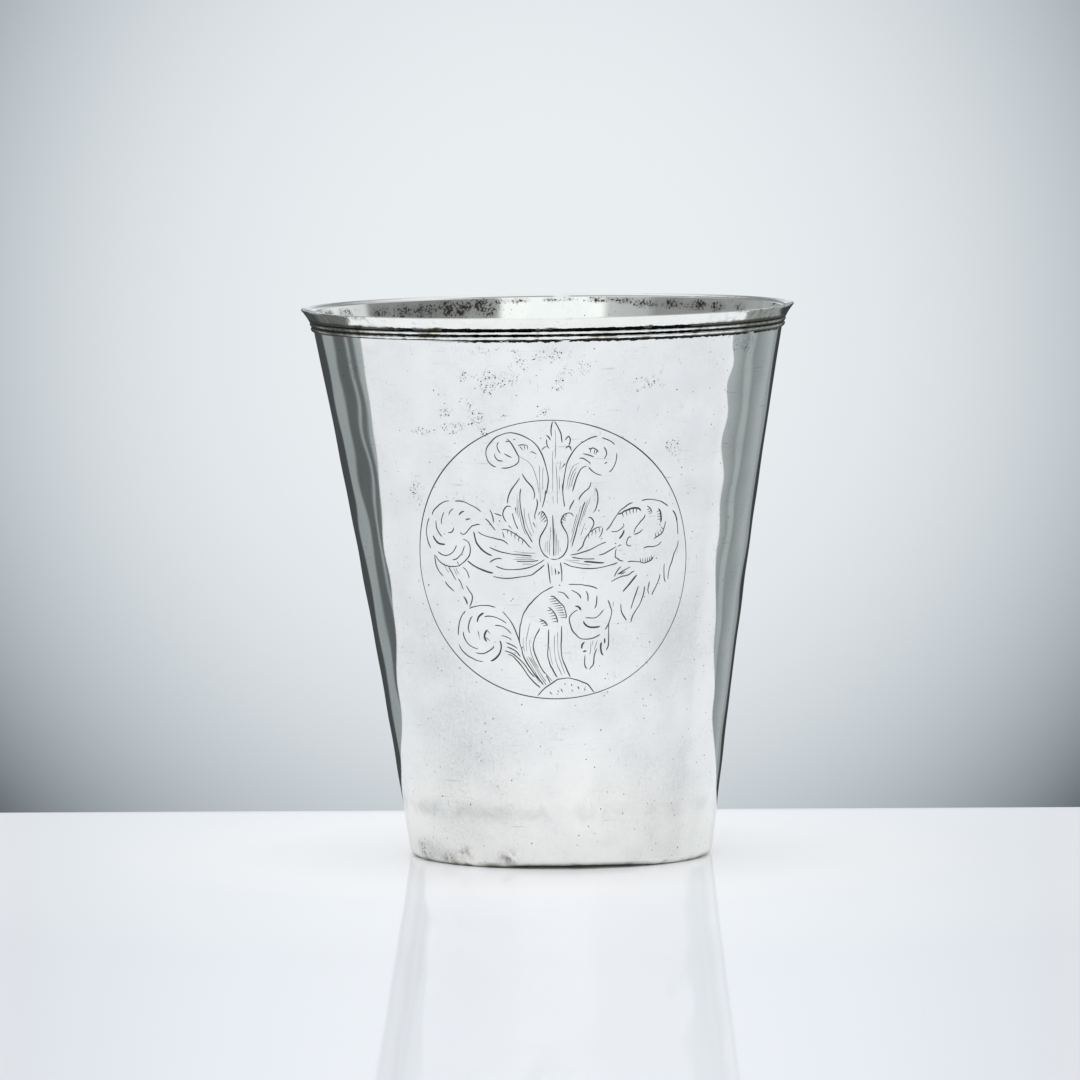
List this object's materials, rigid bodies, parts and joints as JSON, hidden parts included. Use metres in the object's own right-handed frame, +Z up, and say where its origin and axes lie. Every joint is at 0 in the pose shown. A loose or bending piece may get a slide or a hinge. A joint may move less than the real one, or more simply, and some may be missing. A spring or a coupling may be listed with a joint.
{
  "type": "silver beaker",
  "caption": "Tapered silver beaker without a handle, with a flared reeded lip, a flat base and an engraved flower roundel on its front.",
  "frame": {"origin": "on the table, under the middle of the mouth", "axes": "+Z up the cup, -Y out of the front that carries the roundel, -X the side that the cup leans to"},
  "size_m": [0.0896, 0.0896, 0.1004],
  "materials": {
    "wall_silver": "hand-polished sheet silver, planished, with pits, fine scratches and faint tarnish",
    "lip_silver": "polished drawn silver wire, worn bright along its edge",
    "reed_silver": "half-round silver wire, bright on its crown, with black oxide in the crevices beside it",
    "base_silver": "hammered sheet silver, satin with use and a little tarnished",
    "silver_solder": "hard silver solder, dull and slightly yellow-grey"
  },
  "bodies": {
    "root": {"body_wall": "wall_silver", "lip_moulding": "lip_silver", "upper_reed": "reed_silver", "lower_reed": "reed_silver", "base_plate": "base_silver", "base_solder_fillet": "silver_solder"}
  },
  "joints": []
}
